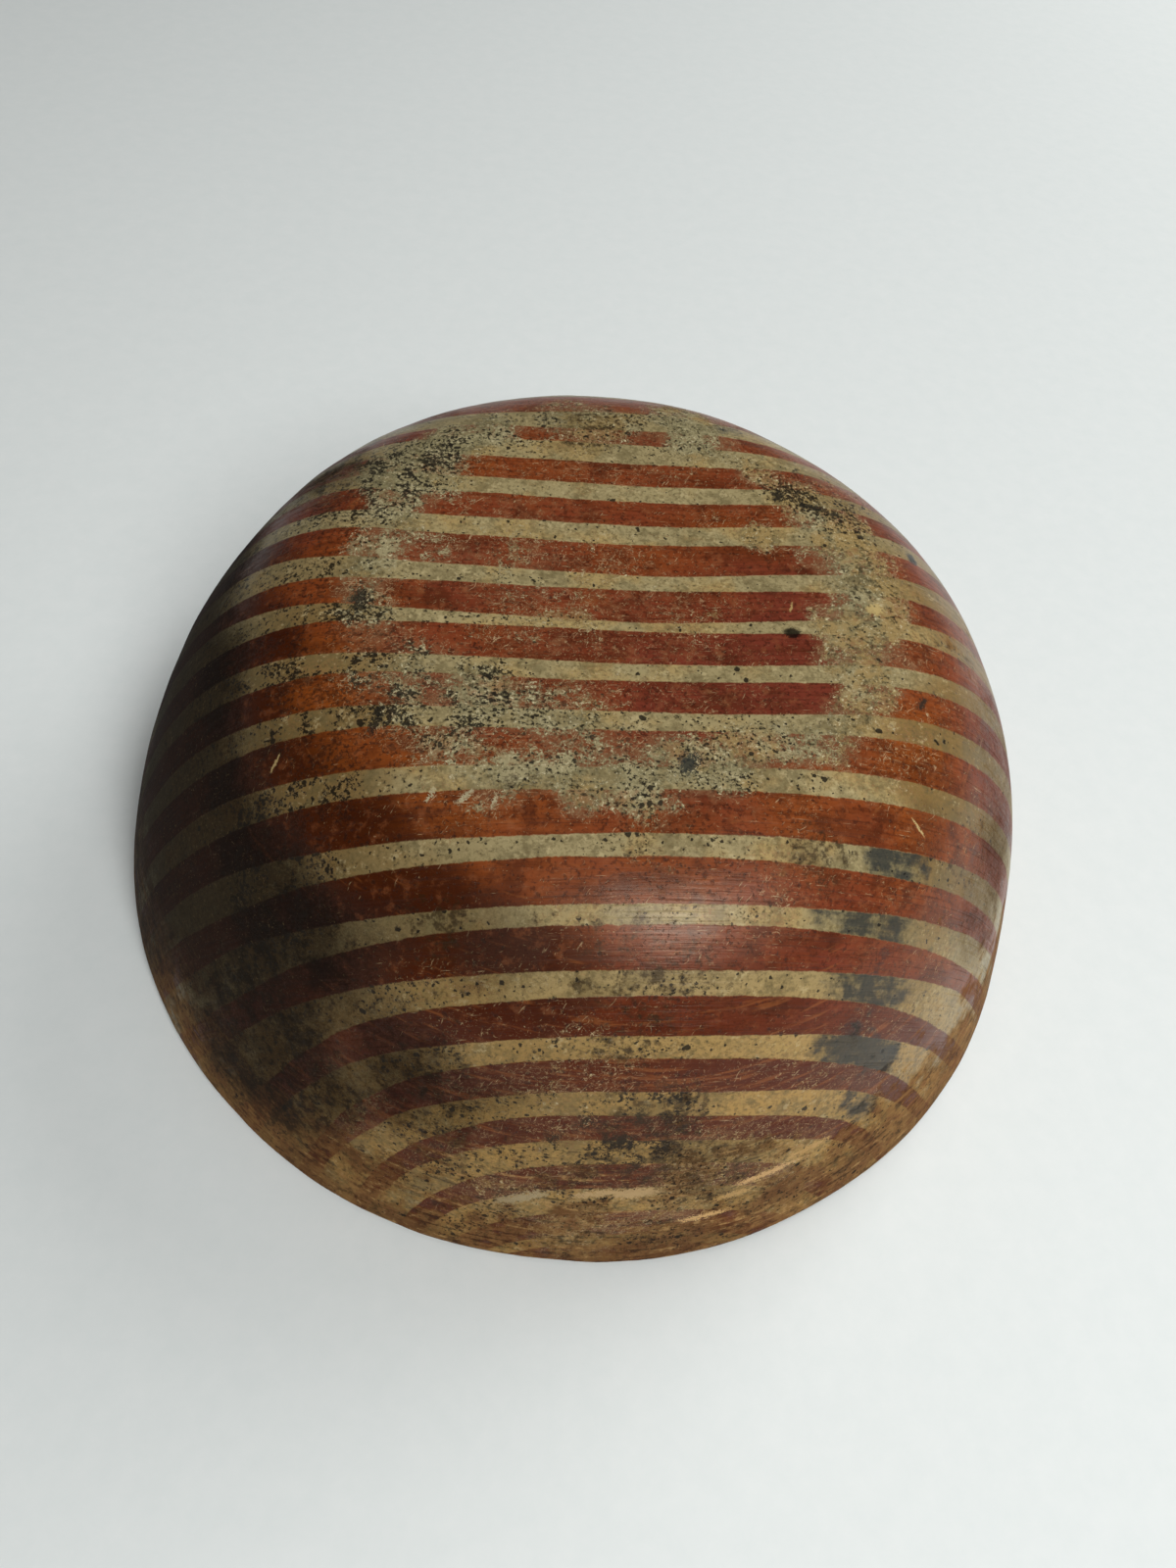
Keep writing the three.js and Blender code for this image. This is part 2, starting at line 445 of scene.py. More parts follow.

# %% Places of smoke, soot, grime and painted shade, in the same way
FIRE_CLOUDS = [
    (49, -59.8, 6, 0.75), (55, -61, 6, 0.6), (44, -58, 4, 0.5), (47, -72, 9, 0.8),
    (36, -71, 6, 0.5), (56, -72, 5, 0.4), (50, -84, 8, 0.85), (57, -83, 6, 0.6), (41, -83, 5, 0.6),
    (42, -95, 6, 0.7), (50, -97, 8, 1.0), (58, -98, 8, 1.0), (66, -100, 5, 0.4), (56, -110, 6, 0.6),
    (63, -112, 5, 0.7), (30, 56, 6, 0.4), (-82, -108, 7, 0.5),
]
SOOT_AND_SHADE_PLACES = [
    # soot with painted shade on the left side, which stood in the smoke
    (-96, -15, 24, 1.0), (-93, -50, 26, 1.0), (-100, 22, 25, 0.9), (-95, -85, 24, 0.8),
    (-128, 0, 30, 0.75), (-125, -45, 30, 0.8), (-110, 60, 40, 0.7), (-78, -104, 18, 0.6),
    (-70, -60, 9, 0.4), (-66, -34, 5, 0.3),
    # painted shade drifting towards the front-left, and soot towards the far side
    (-69, -72, 17, 0.85), (-54, -76, 10, 0.4), (-43, -72, 7, 0.4), (-45, -94, 12, 0.3),
    (-26, -74, 10, 0.4), (-24, -82, 10, 0.3), (-42, -104, 14, 0.45), (-58, -100, 16, 0.5),
    (-20, -102, 8, 0.3), (-30, -112, 12, 0.35), (-60, 32, 12, 0.4), (-62, 44, 12, 0.4),
    (-38, 58, 8, 0.4),
    # painted shade on the right flank
    (92, -30, 24, 0.45), (88, -62, 18, 0.45), (58, -52, 7, 0.45),
]
# grime, with painted shade where places lie on the left and the front-left
GRIME_AND_SHADE_PLACES = [
    (-60, -100, 26, 0.7), (-90, -95, 26, 0.85), (-40, -128, 24, 0.5), (0, -135, 26, 0.35),
    (40, -128, 24, 0.3), (-20, -90, 18, 0.2), (-75, -70, 20, 0.6), (-80, 30, 26, 0.6),
    (-85, -15, 24, 0.5), (75, -95, 20, 0.4), (-55, -55, 14, 0.4), (4, -118, 14, 1.0),
    (24, -127, 12, 0.8), (-42, -108, 12, 0.5), (60, 32, 16, 0.5), (-55, 20, 14, 0.4),
    (0, 56, 20, 0.4), (90, -60, 20, 0.3), (0, 110, 60, 0.5), (-60, 90, 40, 0.6), (60, 95, 40, 0.5),
    (-60, 55, 20, 0.5), (70, 0, 20, 0.35), (68, -56, 12, 0.6), (-36, -71, 8, 0.9),
    (-20, -71, 6, 0.5), (-20, -47, 7, 0.6), (2, -59, 9, 0.6), (34, -59, 9, 0.6), (0, -82, 14, 0.75),
    (10, -95, 16, 0.45), (34, -60, 8, 0.4),
]

# %% Places where the fire turned the slip tan and the red orange or crimson, and where shade is painted on the red
TANNED_PLACES = [
    (-60, -25, 20, 0.7), (-58, -50, 16, 0.7), (62, -38, 15, 0.8), (82, -30, 22, 0.85),
    (86, 5, 22, 0.75), (66, -58, 12, 0.8), (60, -78, 12, 0.5), (84, -60, 16, 0.6), (60, 5, 12, 0.3),
    (62, 38, 20, 0.5), (-62, 0, 14, 0.45), (-40, -75, 18, 0.5), (-20, -105, 16, 0.4),
    (-60, -100, 20, 0.6), (0, 110, 60, 0.4),
]
ORANGE_PLACES = [
    (-60, -27, 15, 1.0), (-58, -40, 16, 1.0), (-45, -53, 18, 0.9), (-22, -54, 12, 0.6),
    (56, -38, 14, 0.55), (60, -52, 15, 0.6), (32, -53, 10, 0.6), (5, -64, 12, 0.5),
    (-45, -66, 16, 0.6), (-26, -90, 9, 0.5), (20, 10, 14, 0.35), (-52, -84, 20, 0.9),
    (62, -15, 14, 0.35), (-5, -108, 12, 0.3), (75, -80, 14, 0.4), (-20, 36, 12, 0.3),
    (60, -28, 12, 0.3), (-60, -5, 16, 0.5), (-20, -68, 14, 0.4),
]
SHADED_RED_PLACES = [
    # painted shade on the left and the front-left, laid over the red as dark brown
    (-50, -70, 18, 0.8), (-35, -85, 18, 0.85), (-18, -82, 12, 0.6), (-55, -54, 14, 0.5),
    (-72, -40, 14, 0.9), (-75, -15, 14, 0.9), (-72, -60, 14, 0.8), (-30, -102, 16, 0.6),
    (-38, -66, 8, 0.4), (-78, 10, 12, 0.7),
]
CRIMSON_PLACES = [
    (30, -14, 20, 1.0), (12, -27, 16, 0.8), (0, -14, 16, 0.5), (25, -3, 14, 0.7), (-30, 8, 20, 0.3),
    (-55, 50, 20, 0.6), (-75, 30, 20, 0.6), (85, -20, 25, 0.5), (20, -88, 25, 0.4),
    (-35, -30, 14, 0.4),
]


# %% From places to numbers
def smooth_step(share):
    """0 below 0 and 1 above 1, with a soft start and end."""
    share = min(max(share, 0), 1)
    return share * share * (3 - 2 * share)


FADED_OUT = 1.5  # in units of a place's reach, where nothing of it is left


def place_strength(places, across, along):
    """How strongly a point is covered by a list of places that fade out around their reach."""
    bare = 1.0
    for middle_across, middle_along, reach, strength in places:
        apart = math.hypot(across - middle_across, along - middle_along) / reach
        if apart < FADED_OUT:
            bare *= 1 - strength * smooth_step(FADED_OUT - apart)
    return 1 - bare


PAINT_ENDS = 127  # mm from the middle of the base, along the outside, to where half is gone
LONGER_IN_FRONT = 14  # mm further down at the front
FRONT, FRONT_SPREAD = 262, 30  # azimuths in degrees
FADE = 48  # mm, over which the paint thins out


def bare_strength(across, along):
    """Towards the lip the paint thins out, and the brown clay of the rim shows."""
    azimuth = math.degrees(math.atan2(along, across)) % 360
    distance = math.hypot(across, along)
    nearest_front = math.exp(-(((azimuth - FRONT) / FRONT_SPREAD) ** 2))
    paint_ends = PAINT_ENDS + LONGER_IN_FRONT * nearest_front
    return smooth_step((distance - paint_ends) / FADE + 0.5)


PLAIN_RED = 0.45  # between 0 for crimson and 1 for orange


def hue_strength(across, along):
    """Towards 1 where the red leans to orange, towards 0 where it leans to crimson."""
    orange = place_strength(ORANGE_PLACES, across, along)
    crimson = place_strength(CRIMSON_PLACES, across, along)
    return PLAIN_RED + (1 - PLAIN_RED) * orange - PLAIN_RED * crimson


def give_attribute(name, strength_at):
    """Stores one number per vertex, from its place on the painter's plane."""
    numbers = [strength_at(across, along) for across, along, depth in unrolled]
    bowl.data.attributes.new(name, "FLOAT", "POINT").data.foreach_set("value", numbers)
    print(name, "covers a share of", round(sum(numbers) / len(numbers), 3))


for name, places in (
    ("worn", WORN_PLACES),
    ("speckled", SPECKLED_PLACES),
    ("fire_cloud", FIRE_CLOUDS),
    ("sooty", SOOT_AND_SHADE_PLACES),
    ("grimy", GRIME_AND_SHADE_PLACES),
    ("tanned", TANNED_PLACES),
    ("thick", SHADED_RED_PLACES),
):
    give_attribute(name, lambda across, along, places=places: place_strength(places, across, along))
give_attribute("orange", hue_strength)
give_attribute("bare_rim", bare_strength)

# %% [markdown]
# ## Writing materials
#
# A material is a tree of nodes. One small function adds a node, sets it and links it, so that
# each line below reads as one step. Colours are picked as sRGB hex values, as a painter would
# name them, and turned into the linear numbers that the shader works with.

# %% Helpers for materials
def linear(colour):
    """An sRGB hex colour as the linear values that a shader takes."""
    values = [int(colour[index : index + 2], 16) / 255 for index in (1, 3, 5)]
    return [v / 12.92 if v <= 0.04045 else ((v + 0.055) / 1.055) ** 2.4 for v in values] + [1]


def add(tree, kind, inputs, output=0, **settings):
    """Adds one node with its settings, sets or links its inputs, and returns one output."""
    node = tree.nodes.new("ShaderNode" + kind)
    for name, value in settings.items():
        setattr(node, name, value)
    for name, value in inputs.items():
        if isinstance(value, bpy.types.NodeSocket):
            tree.links.new(value, node.inputs[name])
        else:
            node.inputs[name].default_value = value
    return node.outputs[output] if node.outputs else node


def new_material(name):
    """An empty material and its tree."""
    material = bpy.data.materials.new(name)
    material.use_nodes = True
    material.node_tree.nodes.clear()
    return material, material.node_tree


# %% [markdown]
# ## Steps that every coat shares
#
# A coat is never even: it lies where some pattern is high enough. So three steps come back all
# the time. Clouds are a pattern with lumps of a given size. A share says where a coat lies, from
# a weighted sum of patterns that passes from one level to another. Laying over puts one colour
# on another by such a share.

# %% Clouds, shares and coats
def clouds(tree, place, sizes, detail, roughness=0.6):
    """A noise pattern whose largest lumps have these sizes in millimetres along the three axes."""
    shrunk = {0: place, 1: [1 / size for size in sizes]}
    shrunk = add(tree, "VectorMath", shrunk, operation="MULTIPLY")
    inputs = {"Vector": shrunk, "Scale": 1, "Detail": detail, "Roughness": roughness}
    return add(tree, "TexNoise", inputs)


def share_where(tree, terms, start, end, cover=1):
    """A share from 0 to cover, rising softly while a weighted sum goes from start to end."""
    total = 0.0
    for pattern, weight in terms:
        total = add(tree, "Math", {0: pattern, 1: weight, 2: total}, operation="MULTIPLY_ADD")
    ends = {"Value": total, "From Min": start, "From Max": end, "To Max": cover}
    return add(tree, "MapRange", ends, interpolation_type="SMOOTHSTEP")


def lay_over(tree, coat, shade, terms, start, end, cover=1):
    """Lays a shade over a coat where a weighted sum of patterns goes from start to end."""
    share = share_where(tree, terms, start, end, cover)
    return add(tree, "Mix", {0: share, 6: coat, 7: linear(shade)}, output=2, data_type="RGBA")


def dots(tree, place, size, density, widest):
    """Round specks in cells of a size in millimetres. density is the share of cells with one."""
    cells = add(tree, "TexVoronoi", {"Vector": place, "Scale": 1 / size, "Randomness": 1})
    chance = add(tree, "SeparateColor", {0: cells.node.outputs["Color"]})
    radius = {"Value": chance, "From Min": 0, "From Max": density, "To Min": widest, "To Max": 0}
    return share_where(tree, [(add(tree, "MapRange", radius), 1), (cells, -1)], -0.02, 0.06)


# %% [markdown]
# ## Patterns of the outside
#
# The outside is earthenware with cream slip and red iron paint, rubbed with a pebble. It gives
# the eye a satin gloss with fine streaks, sharp-edged bands, and matt grey-cream clay where it
# is worn. All its coats share a few patterns, from centimetre patches to millimetre grain, sized
# on the real surface. The finest scratches are thinner than a hair on the bowl and are drawn a
# little wider, so that they show.

# %% Places and patterns
outside, tree = new_material("striped_slip_on_earthenware")
plane = add(tree, "Attribute", {}, output=1, attribute_name="painters_plane")
across = add(tree, "SeparateXYZ", {0: plane}, output=0)
along = add(tree, "SeparateXYZ", {0: plane}, output=1)
flat = add(tree, "CombineXYZ", {0: across, 1: along, 2: 0.0})
solid = {0: add(tree, "TexCoord", {}, output=3), 3: 1 / MM}
solid = add(tree, "VectorMath", solid, operation="SCALE")
worn, speckled, fire_cloud, sooty, grimy, tanned, thick, orange, bare_rim = [
    add(tree, "Attribute", {}, output=2, attribute_name=name)
    for name in "worn speckled fire_cloud sooty grimy tanned thick orange bare_rim".split()
]

patches = clouds(tree, solid, (14, 14, 14), 3)
mottle = clouds(tree, solid, (6, 6, 6), 8, 0.62)
lumps = clouds(tree, solid, (2.4, 2.4, 2.4), 5, 0.65)
grain = clouds(tree, solid, (0.85, 0.85, 0.85), 3, 0.65)
brushed = clouds(tree, flat, (16, 0.9, 1), 4, 0.65)  # along the bands, as brush and pebble went
turned = clouds(tree, solid, (14, 14, 1.2), 6, 0.62)  # parallel to the lip, as the rim was rubbed
stained = clouds(tree, solid, (1.9, 1.9, 1.9), 5, 0.72)
hairlines = share_where(tree, [(clouds(tree, flat, (24, 0.5, 1), 3), -1)], -0.44, -0.36)
fibres = {"Vector": solid, "Scale": 1 / 0.9, "Detail": 4, "Roughness": 0.75, "Distortion": 1.6}
fibres = add(tree, "TexNoise", fibres)
print("Shared patterns use", len(tree.nodes), "nodes")

# %% [markdown]
# ## The cream lines
#
# The red was brushed on in broad strokes, and the cream lines are what the brush left free.
# Each line has its own height, and its own width at the middle and towards its ends. For every
# point the material works out how far it is from the edge of the nearest line, in millimetres,
# so that the edge stays sharp however close the camera comes. A sway over centimetres and the
# bristles of the brush keep the edges from looking ruled.

# %% The cream lines, as (height, width at the middle, width near the ends) in mm
CREAM_LINES = [
    (-148.5, 4, 4), (-134, 7.6, 8.5), (-119.8, 6, 9), (-107.4, 5.4, 8), (-95.2, 4.5, 7.3),
    (-83, 4.4, 7), (-71.2, 3.3, 5.6), (-59.5, 4, 5.6), (-46.2, 4.8, 5.5), (-33.2, 4.4, 5),
    (-21, 4.4, 5), (-8.7, 2.6, 5.4), (3.5, 4.3, 6.6), (17.2, 5.4, 5.6), (29.6, 5, 5), (42.1, 6, 6),
    (53.9, 6.8, 6), (71.5, 6, 7), (84, 5, 7), (96.5, 5.5, 7), (109, 5, 8), (121.5, 6, 8),
    (134, 6, 8), (147, 5, 7),
]
LINE_END = 72  # across, where a line has its second width
WIDENS_TO = 1.3  # how much it widens beyond that, as a multiple of the change up to LINE_END
LINE_EDGE = -0.12, 0.18  # mm from a line's edge, where the red begins and where it is full


def distance_to_cream(tree, height, ends):
    """How far a point is from the edge of the nearest cream line, below 0 inside a line."""
    distances = []
    for line_height, width, end_width in CREAM_LINES:
        away = add(tree, "Math", {0: height, 1: line_height}, operation="SUBTRACT")
        away = add(tree, "Math", {0: away}, operation="ABSOLUTE")
        half = {0: ends, 1: (width - end_width) / 2, 2: -width / 2}
        half = add(tree, "Math", half, operation="MULTIPLY_ADD")
        distances.append(add(tree, "Math", {0: away, 1: half}, operation="ADD"))
    nearest = distances[0]
    for away in distances[1:]:
        nearest = add(tree, "Math", {0: nearest, 1: away}, operation="MINIMUM")
    return nearest


sway = clouds(tree, flat, (46, 8, 1), 1)
height = add(tree, "Attribute", {}, output=2, attribute_name="band_height")
for pattern, millimetres in ((sway, 1.3), (lumps, 0.7), (fibres, 0.5)):
    centred = {0: pattern, 1: millimetres, 2: -millimetres / 2}
    centred = add(tree, "Math", centred, operation="MULTIPLY_ADD")
    height = add(tree, "Math", {0: height, 1: centred}, operation="ADD")
ends = add(tree, "Math", {0: across, 1: 1 / LINE_END}, operation="MULTIPLY")
ends = add(tree, "Math", {0: ends, 1: 2}, operation="POWER")
ends = add(tree, "Math", {0: ends, 1: WIDENS_TO}, operation="MINIMUM")
painted = share_where(tree, [(distance_to_cream(tree, height, ends), 1)], *LINE_EDGE)
print(len(CREAM_LINES), "cream lines drawn")

# %% [markdown]
# ## Cream slip and red paint
#
# Cream slip is a white clay, stained by age. It is greyish on the base, warm in patches, brown
# where the fire touched the flanks and tan towards the rim. The red is iron earth. It runs from
# crimson where the fire was clean to orange-brown and shows the streaks of brush and pebble.
# Painted shade darkens it towards the lower wall, and as dark brown on the left and front-left.

# %% Slip and paint, each layer as (shade, patterns with their weights, start, end, cover)
low = share_where(tree, [(along, -1)], 66, 108)
cream = {0: low, 6: linear("#978962"), 7: linear("#a9864c")}
cream = add(tree, "Mix", cream, output=2, data_type="RGBA")
for layer in (
    ("#a88c54", [(patches, 1)], 0.46, 0.64, 0.6),
    ("#755a30", [(tanned, 1), (mottle, 0.6)], 0.35, 1.15, 0.85),
    ("#5e5336", [(mottle, -0.6), (stained, -0.6)], -0.64, -0.48, 0.6),
    ("#5c4f30", [(grain, -1)], -0.52, -0.38, 0.45),
    ("#8a6240", [(fibres, 1), (patches, 0.5)], 0.8, 0.95, 0.5),
    ("#bfae82", [(lumps, 1), (grain, 0.6)], 0.88, 1.0, 0.4),
):
    cream = lay_over(tree, cream, *layer)

hue = add(tree, "Math", {0: patches, 1: 1.0, 2: -0.5}, operation="MULTIPLY_ADD")
hue = add(tree, "Math", {0: hue, 1: orange}, operation="ADD", use_clamp=True)
red = {0: hue, 6: linear("#6f3122"), 7: linear("#834216")}
red = add(tree, "Mix", red, output=2, data_type="RGBA")
for layer in (
    # more orange, and darker as painted shade, towards the lower wall
    ("#6a2c0c", [(low, 1)], 0, 1, 0.6),
    ("#47200f", [(clouds(tree, flat, (28, 9, 1), 4), -1)], -0.5, -0.36, 0.5),
    # painted shade on the left and the front-left, dark brown, broken up by mottle and brush
    # streaks
    ("#2e0e03", [(thick, 1), (mottle, 0.6), (brushed, 0.4)], 0.55, 1.25, 0.85),
    ("#46200f", [(mottle, -1)], -0.52, -0.34, 0.6),
    ("#431c0c", [(brushed, -1)], -0.52, -0.34, 0.45),
    ("#38160a", [(grain, -1), (stained, -0.5)], -0.76, -0.58, 0.6),
    ("#3a180b", [(hairlines, 1)], 0, 1, 0.35),
    ("#8f5331", [(lumps, 1)], 0.52, 0.68, 0.35),
    # dark red patches, denser towards the lower wall as painted shade
    ("#4c1a06", [(low, 0.5), (mottle, 1), (patches, 0.6)], 0.85, 1.3, 0.85),
    ("#93562c", [(turned, 1), (low, 0.1)], 0.6, 0.74, 0.5),
):
    red = lay_over(tree, red, *layer)

# %% [markdown]
# ## Wear
#
# Wear goes back down through the layers. First the red is rubbed thin, then flecks and short
# scratches let the slip through, then islands of all sizes are gone and grey-cream ground is
# left, with dirt in its pits and pale grains. Islands come from adding up patterns of different
# sizes and cutting the sum at one level: the more worn a place is, the more of it lies above.

# %% Worn ground, and how far the paint is gone
ground = cream
for layer in (
    ("#7a7353", [(mottle, 1)], 0.3, 0.45, 0.8),
    ("#968c69", [(mottle, 1), (lumps, 0.6)], 0.76, 0.92, 0.8),
    ("#937847", [(patches, 1), (across, 0.0026), (lumps, 0.4)], 0.7, 0.88, 0.75),
    ("#b3905c", [(low, 1), (mottle, 0.6)], 0.3, 1.2, 0.8),
    ("#5a543d", [(stained, -1), (mottle, -0.5)], -0.72, -0.6, 0.7),
    ("#7a5236", [(painted, 0.3), (patches, 0.6), (stained, 0.9)], 1.02, 1.2, 0.6),
    ("#c4b995", [(fibres, 1), (grain, 0.6)], 0.88, 1.0, 0.8),
    ("#36301f", [(grain, -1), (lumps, -0.6)], -0.77, -0.64, 0.85),
):
    ground = lay_over(tree, ground, *layer)

gone = [(worn, 0.64), (patches, 0.6), (mottle, 0.75), (lumps, 0.4), (fibres, 1.0)]
gone = share_where(tree, gone, 1.73, 1.85)
kept = add(tree, "Math", {0: 1, 1: gone}, operation="SUBTRACT")
red = lay_over(tree, red, "#7d5a3e", [(worn, 0.8), (lumps, 0.8), (fibres, 0.6)], 0.9, 1.35, 0.7)

# %% Flecks and short scratches that show the slip through the red
slanting = {"Vector": flat, "Angle": math.radians(38)}
slanting = add(tree, "VectorRotate", slanting, rotation_type="Z_AXIS")
bent = add(tree, "VectorMath", {0: patches.node.outputs["Color"], 3: 9}, operation="SCALE")
crossing = add(tree, "VectorMath", {0: slanting, 1: bent}, operation="ADD")
scratches = {0: clouds(tree, flat, (4.5, 0.3, 1), 2), 1: clouds(tree, crossing, (0.32, 4, 1), 2)}
scratches = add(tree, "Math", scratches, operation="MAXIMUM")
red = lay_over(tree, red, "#a98e68", [(fibres, 1), (worn, 0.2), (patches, 0.25)], 0.76, 0.86, 0.75)
red = lay_over(tree, red, "#b39a74", [(scratches, 1), (worn, 0.1), (patches, 0.2)], 0.79, 0.87, 0.7)

slip = add(tree, "Mix", {0: gone, 6: cream, 7: ground}, output=2, data_type="RGBA")
paint = add(tree, "Math", {0: painted, 1: kept}, operation="MULTIPLY")
coat = add(tree, "Mix", {0: paint, 6: slip, 7: red}, output=2, data_type="RGBA")
print("Bands and wear use", len(tree.nodes), "nodes")

# %% [markdown]
# ## Rim, grime, smoke, soot and painted shade
#
# Towards the lip the paint thins out into brown clay that hands have rubbed. Grime settles in
# the low places, more on the slip than on the polished red, and on the left and front-left it is
# also painted shade. Fire clouds are blue-black and sit in the slip. Soot lies on the side that
# stood in the smoke, and painted shade lies with it on the left, the front-left and the right
# flank. It darkens what is under it like a glaze, so the bands still show through. The low wall
# is rubbed and streaked along the lip.

# %% Coats that lie over the bands
rubbed = share_where(tree, [(turned, 0.6), (mottle, 0.8), (lumps, 0.3)], 0.7, 1.05)
rim = {0: rubbed, 6: linear("#5c3a1c"), 7: linear("#9c7443")}
rim = add(tree, "Mix", rim, output=2, data_type="RGBA")
for layer in (
    ("#6a3d22", [(mottle, 1), (patches, 0.6)], 0.8, 0.95, 0.7),
    ("#bd9a68", [(stained, 1), (turned, 0.4)], 0.8, 0.92, 0.5),
    ("#3d2815", [(lumps, -1), (stained, -0.5)], -0.72, -0.6, 0.8),
):
    rim = lay_over(tree, rim, *layer)
rim_here = [(bare_rim, 1), (mottle, 2), (turned, 0.7), (patches, 1.6)]
rim_here = share_where(tree, rim_here, 2.45, 3.05, 0.88)
coat = add(tree, "Mix", {0: rim_here, 6: coat, 7: rim}, output=2, data_type="RGBA")

# grime, and painted shade on the left and front-left, laid dark over the coat
grime_and_shade_share = [(stained, 0.8), (lumps, 0.4), (patches, 0.4), (grimy, 0.26), (painted, -0.06)]
grime_and_shade_share = share_where(tree, grime_and_shade_share, 0.93, 1.12, 0.85)
coat = add(tree, "Mix", {0: grime_and_shade_share, 6: coat, 7: linear("#2a1d0f")}, output=2, data_type="RGBA")
lowest = share_where(tree, [(along, -1)], 94, 124)
for layer in (
    ("#55361a", [(turned, 1), (mottle, 0.8), (patches, 0.5), (lowest, 0.3)], 1.4, 1.62, 0.62),
    ("#b8925c", [(turned, 1), (stained, 0.7), (lowest, 0.35)], 1.28, 1.42, 0.6),
    ("#2c1a0b", [(turned, -1), (stained, -0.7), (lowest, 0.35)], -0.44, -0.3, 0.7),
):
    coat = lay_over(tree, coat, *layer)

smoke = [(fire_cloud, 1), (brushed, 0.5), (mottle, 1.8), (lumps, 0.9), (paint, -0.5)]
coat = lay_over(tree, coat, "#20272a", smoke, 1.95, 2.5, 0.88)
# soot, with painted shade on the left, the front-left and the right flank, darkens the coat
soot_and_shade_share = share_where(tree, [(sooty, 1), (mottle, 0.6), (grain, 0.5), (fibres, 0.5)], 1.02, 1.78, 0.94)
darkened = {0: soot_and_shade_share, 6: coat, 7: linear("#3e2e1a")}
coat = add(tree, "Mix", darkened, output=2, data_type="RGBA", blend_type="MULTIPLY")
coat = lay_over(tree, coat, "#5f5036", [(fibres, 1), (grain, 0.6), (sooty, 0.2)], 1.1, 1.22, 0.6)

# %% [markdown]
# ## Specks and single marks
#
# Black specks of grit and old food, 0.3 to 1.3 mm wide, crowd where the surface is worn. A few
# marks lie in one place each: a black spot, a crumb, blots, and pale slashes from a blade. Each
# is a soft ellipse on the painter's plane, whose outline is made ragged by shifting the plane
# with a pattern first.

# %% Specks
crooked = add(tree, "VectorMath", {0: lumps.node.outputs["Color"], 3: 2}, operation="SCALE")
crooked = add(tree, "VectorMath", {0: crooked, 1: solid}, operation="ADD")
crowded = add(tree, "Math", {0: speckled, 1: 2}, operation="POWER")
clusters = share_where(tree, [(mottle, 1)], 0.36, 0.6)
crowded = add(tree, "Math", {0: crowded, 1: clusters, 2: 0.07}, operation="MULTIPLY_ADD")
half_as_many = add(tree, "Math", {0: crowded, 1: 0.5}, operation="MULTIPLY")
coarse = dots(tree, crooked, 1.6, half_as_many, 0.42)
fine = dots(tree, crooked, 0.75, crowded, 0.5)
pits = share_where(tree, [(grain, -1), (fibres, -0.6), (crowded, 0.3)], -0.6, -0.5)
specks = add(tree, "Math", {0: coarse, 1: fine}, operation="MAXIMUM")
specks = add(tree, "Math", {0: specks, 1: pits}, operation="MAXIMUM")
shown = share_where(tree, [(paint, -1)], -2, 0.1, 0.92)
specks = add(tree, "Math", {0: specks, 1: shown}, operation="MULTIPLY")
coat = add(tree, "Mix", {0: specks, 6: coat, 7: linear("#171410")}, output=2, data_type="RGBA")

# %% Single marks, as (across, along, half length, half width, turn in degrees, raggedness, colour)
MARKS = [
    (34.2, -10, 1.7, 1.5, 0, 3, "#0b0a08"), (9.8, -42.8, 2.6, 1.8, 60, 8, "#2c2f2b"),
    (52.6, -3, 1.9, 1.5, 20, 5, "#b39c66"), (58, -26, 2.2, 0.7, 50, 4, "#2a2620"),
    (37.4, 30.4, 2.4, 1.3, 60, 7, "#211f19"), (45, 27.3, 3.2, 1.1, -8, 6, "#211f19"),
    (50, 25.4, 1.6, 1, 0, 6, "#211f19"), (54.4, 19.2, 1, 0.8, 0, 3, "#211f19"),
    (68, 18, 1.6, 2, 0, 5, "#1d1f20"), (-51, -5, 3.2, 1.5, 80, 9, "#211f19"),
    (-46, -34, 3.4, 0.9, 75, 7, "#1f1d18"), (-6, -132, 6, 1, 8, 7, "#b5976a"),
    (-66, -39, 2, 0.28, 52, 1.5, "#b39a68"), (55, -52, 2.4, 0.24, -40, 1.5, "#b39a68"),
    (-30, -50, 2, 0.35, 40, 3, "#a89f7e"), (-36, -49.5, 1.6, 0.3, 60, 3, "#a89f7e"),
    (-25, -51, 1.6, 0.28, 75, 3, "#a89f7e"), (35, -3, 1.5, 0.25, 70, 1.5, "#a58a58"),
    (24, -141, 7, 0.9, 12, 6, "#cfa76e"), (38, -128, 9, 0.9, 20, 6, "#d0a872"),
    (4, -132, 6, 1.6, 6, 7, "#b5976a"), (-24, -133, 7, 1.3, 12, 7, "#a59370"),
    (48, -122, 7, 0.9, 22, 6, "#b8935c"), (30, -134, 6, 0.9, 16, 6, "#b8935c"),
    (-2, -117, 3.6, 1.4, 10, 12, "#241b10"), (9, -119, 3, 1.2, 8, 12, "#241b10"),
    (-9, -112, 2.4, 1, 20, 12, "#2a2014"), (-16, -116, 2, 0.9, 20, 12, "#2a2014"),
    (2, -110, 2, 1, 80, 10, "#2b2417"), (3, -124, 2.4, 0.9, 40, 10, "#2a2014"),
]

